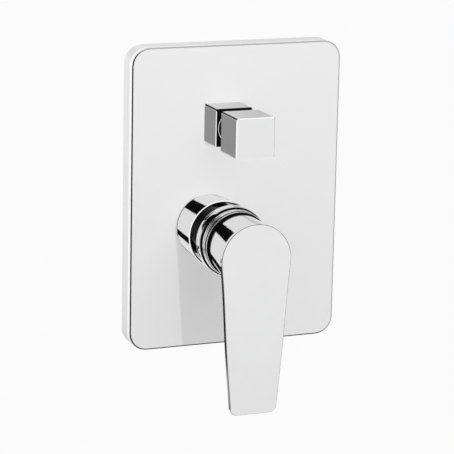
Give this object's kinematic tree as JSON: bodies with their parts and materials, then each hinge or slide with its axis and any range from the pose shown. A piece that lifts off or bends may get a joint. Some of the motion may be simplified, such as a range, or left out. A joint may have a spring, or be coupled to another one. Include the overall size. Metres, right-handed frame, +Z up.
{
  "type": "concealed bath mixer",
  "caption": "Concealed bath mixer: rounded rectangular chrome cover plate, flared sleeve with a flat tapering lever, and a cube push-pull diverter knob, on a brass body for the wall.",
  "frame": {"origin": "centre of the four fixing holes, on the rear face of the lugs of the in-wall body", "axes": "-Y out of the wall toward the user, +Z up, +X to the user's right"},
  "size_m": [0.15, 0.1772, 0.2286],
  "materials": {
    "chrome": "polished chrome plate",
    "plate_chrome": "polished chrome plate on pressed sheet",
    "brass": "cast and turned, plain",
    "black_metal": "brass, blackened",
    "black_plastic": "moulded, black",
    "rubber": "matt black",
    "foam": "closed-cell foam",
    "plastic": "moulded",
    "grey_plastic": "moulded",
    "ceramic": "lapped",
    "steel": "plain"
  },
  "bodies": {
    "mixer": {"mixer_body": "brass", "cartridge_neck": "black_metal", "sleeve": "chrome", "sleeve_ring_rear": "rubber", "sleeve_ring_front": "rubber", "sleeve_seal": "rubber", "cover_plate": "plate_chrome", "plate_gasket": "foam", "cartridge_housing": "plastic", "port_gasket": "rubber", "fixed_disc": "ceramic", "cartridge_nut": "brass", "dome_cap": "black_plastic", "diverter_bonnet": "brass", "bonnet_seal": "rubber", "stem_ring": "rubber", "diverter_collar": "chrome", "collar_insert": "black_plastic", "collar_ring": "rubber"},
    "turret": {"cartridge_turret": "plastic", "pivot_pin": "steel"},
    "lever": {"spindle": "brass", "lever_handle": "chrome", "hub_ring": "chrome", "hub_spacer": "black_plastic", "lever_screw": "steel", "screw_plug": "grey_plastic"},
    "disc": {"disc_carriage": "plastic", "moving_disc": "ceramic"},
    "diverter": {"diverter_knob": "chrome", "knob_bush": "black_plastic", "knob_screw": "steel", "diverter_stem": "brass", "front_washer": "rubber", "valve_disc": "brass", "rear_washer": "rubber", "valve_nut": "brass"}
  },
  "joints": [
    {"name": "lever_turn", "type": "hinge", "parent": "mixer", "child": "turret", "pos_m": [-0.0103, -0.1392, -0.0044], "axis": [0, 1, 0], "range_deg": [-45, 45]},
    {"name": "lever_lift", "type": "hinge", "parent": "turret", "child": "lever", "pos_m": [-0.0103, -0.1392, -0.0044], "axis": [-1, 0, 0], "range_deg": [0, 22]},
    {"name": "disc_slide", "type": "slide", "parent": "turret", "child": "disc", "axis": [0, 0, -1], "range_m": [0, 0.00442]},
    {"name": "diverter_push", "type": "slide", "parent": "mixer", "child": "diverter", "axis": [0, 1, 0], "range_m": [0, 0.0063]}
  ],
  "couplings": [
    {"joint": "disc_slide", "follows": "lever_lift", "m_per_rad": 0.011}
  ]
}
